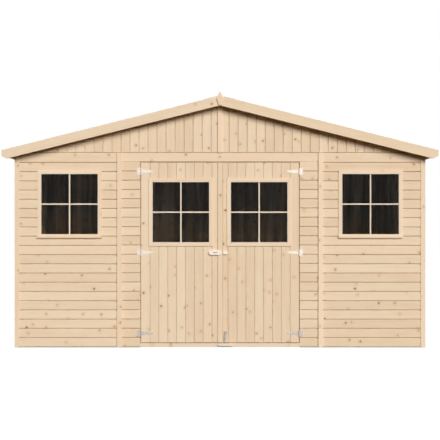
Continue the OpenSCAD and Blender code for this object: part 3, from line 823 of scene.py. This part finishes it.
def make_timber():
    for node in TIMBER_NODES:
        bm = welded(node)
        join_flats(bm)
        if node in DOORWAY_NODES:
            widen_doorway(bm)
        round_edges(bm, FINIAL_ROUND if node == "finials" else TIMBER_ROUND)
        mark_grain(bm)
        stand_for(node, bm, "timber", TIMBER_FINISH.get(node))


def make_meeting_strip():
    """Strip on the left leaf, wide enough to hide the gap between the leaves."""
    bm = welded("left_door_strip")
    join_flats(bm)
    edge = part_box("left_door_strip")[1].x
    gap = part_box("right_door_leaf")[0].x - edge
    side = [vert for vert in bm.verts if vert.co.x > edge - MM]
    bmesh.ops.translate(bm, verts=side, vec=X * (gap - STRIP_CLEAR))
    round_edges(bm, CASING_ROUND)
    mark_grain(bm)
    stand_for("left_door_strip", bm, "timber", finish["boards"])


# Windows
def ring(bm, low, high, hole_low, hole_high):
    """Adds two uprights and two rails round a hole."""
    block(bm, low, (hole_low.x, high.y, high.z))
    block(bm, (hole_high.x, low.y, low.z), high)
    block(bm, (hole_low.x, low.y, low.z), (hole_high.x, high.y, hole_low.z))
    block(bm, (hole_low.x, low.y, hole_high.z), (hole_high.x, high.y, high.z))


def make_window_frame(node, glass, name):
    """Casing on the boards, sash round the pane and, where the solid has one, the sill."""
    casing = bmesh.new()
    sash = bmesh.new()
    margin = Vector((SASH_WIDTH, 0, SASH_WIDTH))
    for (low, high), (pane_low, pane_high) in zip(island_boxes(node), island_boxes(glass)):
        sash_low, sash_high = pane_low - margin, pane_high + margin
        low.y, high.y, back = casing_face, wall_face, high.y
        ring(casing, low, high, sash_low, sash_high)
        sash_low.y, sash_high.y = casing_face + SASH_SET, back
        ring(sash, sash_low, sash_high, pane_low, pane_high)
    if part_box(node)[0].y < casing_face - MM:
        whole = welded(node)
        move_into(casing, layer(whole, -Y, -casing_face + SILL_LIFT, FAR))
        whole.free()
    for bm in (casing, sash):
        round_edges(bm, CASING_ROUND)
        mark_grain(bm)
    stand_for(node, casing, "casing")
    make_piece(name, sash, pale_finish, body_of[node], "trim")


def make_window_bars(glass, name):
    """Crossed bars on the outside of each pane."""
    made = bmesh.new()
    half = BAR_WIDTH / 2
    for low, high in island_boxes(glass):
        middle = (low + high) / 2
        front = low.y - BAR_DEPTH
        block(made, (middle.x - half, front, low.z), (middle.x + half, low.y, high.z))
        block(made, (low.x, front, middle.z - half), (middle.x - half, low.y, middle.z + half))
        block(made, (middle.x + half, front, middle.z - half), (high.x, low.y, middle.z + half))
    round_edges(made, CASING_ROUND)
    mark_grain(made)
    make_piece(name, made, pale_finish, body_of[glass], "trim")


def make_windows():
    for place, frames, glass in (
        ("front", "front_window_frames", "front_window_glass"),
        ("left_door", "left_door_window_frame", "left_door_glass"),
        ("right_door", "right_door_window_frame", "right_door_glass"),
    ):
        make_window_frame(frames, glass, f"{place}_window_sash")
        make_window_bars(glass, f"{place}_window_bars")


# Fittings
def finish_cad_nodes():
    """Gives the fittings and the glass, whose solids show as they are, their materials."""
    for node, obj in frame["nodes"].items():
        if slot_of[node] in ("zinc", "glass"):
            obj.data.materials.clear()
            # The latch bolt takes the darkened zinc, painted shade for its slot
            obj.data.materials.append(slot_shade_zinc if node == "latch_bolt" else finish[slot_of[node]])


def head(bm, place, out, radius, height):
    """Adds a screw or nail head with a small recess, standing out of a face."""
    turn = out.to_track_quat("Z", "Y").to_matrix().to_4x4()
    sit = Matrix.Translation(Vector(place) + out * height / 2) @ turn
    made = bmesh.ops.create_cone(bm, cap_ends=True, segments=HEAD_SIDES, radius1=radius,
                                 radius2=radius * HEAD_TOP, depth=height, matrix=sit)
    bm.normal_update()
    faces = [face for vert in made["verts"] for face in vert.link_faces]
    top = next(face for face in faces if face.normal.dot(out) > SQUARELY)
    bmesh.ops.inset_region(bm, faces=[top], thickness=radius * RECESS_RIM)
    bmesh.ops.translate(bm, verts=top.verts, vec=-out * height * RECESS_DEPTH)


def make_heads(name, places, body, radius):
    """Makes the screw heads at places on faces that look to the front."""
    screws = bmesh.new()
    for place in places:
        head(screws, place, -Y, radius, SCREW_H)
    make_piece(name, screws, finish["zinc"], body, "zinc")


def make_strap_screws(node, side):
    face = wall_face - STRAP_T
    places = []
    for low, high in island_boxes(node):
        pin, tip = (high.x, low.x) if side > 0 else (low.x, high.x)
        level = (low.z + high.z) / 2
        places += [(pin + (tip - pin) * share, face, level + rise) for share, rise in STRAP_SCREWS]
    make_heads(node.replace("straps", "screws"), places, body_of[node], SCREW_R)


def make_plate_screws():
    face = wall_face - STRAP_T
    places = []
    for low, high in island_boxes("hinge_plates"):
        outer = high.x if high.x > 0 else low.x
        place = outer - math.copysign(PLATE_SCREW_IN, outer)
        places += [(place, face, level) for level in (low.z + PLATE_SCREW_END, high.z - PLATE_SCREW_END)]
    make_heads("hinge_plate_screws", places, "root", SCREW_R)


def make_fitting_screws(node, face, shares):
    """Small screws on a fitting's face, at shares of its width and height."""
    low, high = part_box(node)
    width, tall = high.x - low.x, high.z - low.z
    places = [(low.x + share_x * width, face, low.z + share_z * tall) for share_x, share_z in shares]
    make_heads(f"{node}_screws", places, body_of[node], SMALL_SCREW_R)


def make_screws():
    make_strap_screws("left_hinge_straps", -1)
    make_strap_screws("right_hinge_straps", 1)
    make_plate_screws()
    make_fitting_screws("latch_case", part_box("latch_case")[0].y, LATCH_SCREWS)
    make_fitting_screws("drop_bolt_plate", wall_face - BOLT_PLATE_T, DROP_BOLT_SCREWS)


# Stage, light and camera
def seen_rays(tree):
    """1 on rays that show the surroundings, and 0 on rays that only carry light."""
    path = add_node(tree, "LightPath").outputs
    seen = calc(tree, "MAXIMUM", path["Is Camera Ray"], path["Is Glossy Ray"])
    return calc(tree, "MAXIMUM", seen, path["Is Transmission Ray"])


def make_stage():
    bpy.ops.mesh.primitive_plane_add(size=FLOOR_SIZE, location=(0, 0, -MM))
    floor = bpy.context.object
    floor.name = "floor"
    material, tree, shader = new_material("floor")
    seen = seen_rays(tree)
    tree.links.new(blend(tree, seen, FLOOR_BOUNCE, FLOOR_COLOUR), shader.inputs["Base Color"])
    shader.inputs["Roughness"].default_value = 1
    shader.inputs["Specular IOR Level"].default_value = 0
    shader.inputs["Emission Color"].default_value = WHITE
    tree.links.new(times(tree, seen, FLOOR_GLOW), shader.inputs["Emission Strength"])
    floor.data.materials.append(material)


def make_world():
    world = bpy.data.worlds.new("studio")
    bpy.context.scene.world = world
    world.use_nodes = True
    tree = world.node_tree
    backdrop = tree.nodes["Background"]
    seen = seen_rays(tree)
    tree.links.new(blend(tree, seen, AMBIENT_COLOUR, WHITE), backdrop.inputs["Color"])
    tree.links.new(weighted(tree, AMBIENT, (seen, 1 - AMBIENT)), backdrop.inputs["Strength"])


def make_sun(name, towards, power, spread):
    sun = bpy.data.lights.new(name, "SUN")
    sun.energy = power
    sun.angle = spread
    lamp = add_object(name, sun)
    lamp.rotation_mode = "QUATERNION"
    lamp.rotation_quaternion = Vector(towards).to_track_quat("Z", "Y")


def make_lights():
    flat = math.cos(KEY_RISE)
    key = (math.sin(KEY_SIDE) * flat, -math.cos(KEY_SIDE) * flat, math.sin(KEY_RISE))
    make_sun("key", key, KEY_POWER, KEY_SPREAD)
    for index, (towards, power) in enumerate(FILLS):
        make_sun(f"fill_{index}", towards, power, FILL_SPREAD)


def make_camera():
    lens = bpy.data.cameras.new("camera")
    lens.lens = CAMERA_LENS
    lens.sensor_width = SENSOR_WIDTH
    camera = add_object("camera", lens)
    camera.location = CAMERA_PLACE
    camera.rotation_euler = (math.pi / 2, 0, 0)
    bpy.context.scene.camera = camera


bpy.context.scene.view_settings.view_transform = "Standard"
make_camera()
make_world()
make_lights()
make_stage()
make_walls()
make_gables()
make_doors()
make_floor_boards()
make_roof_boards()
make_felt_roof()
make_ridge_cap()
make_felt_nails()
make_timber()
make_meeting_strip()
make_windows()
finish_cad_nodes()
make_screws()
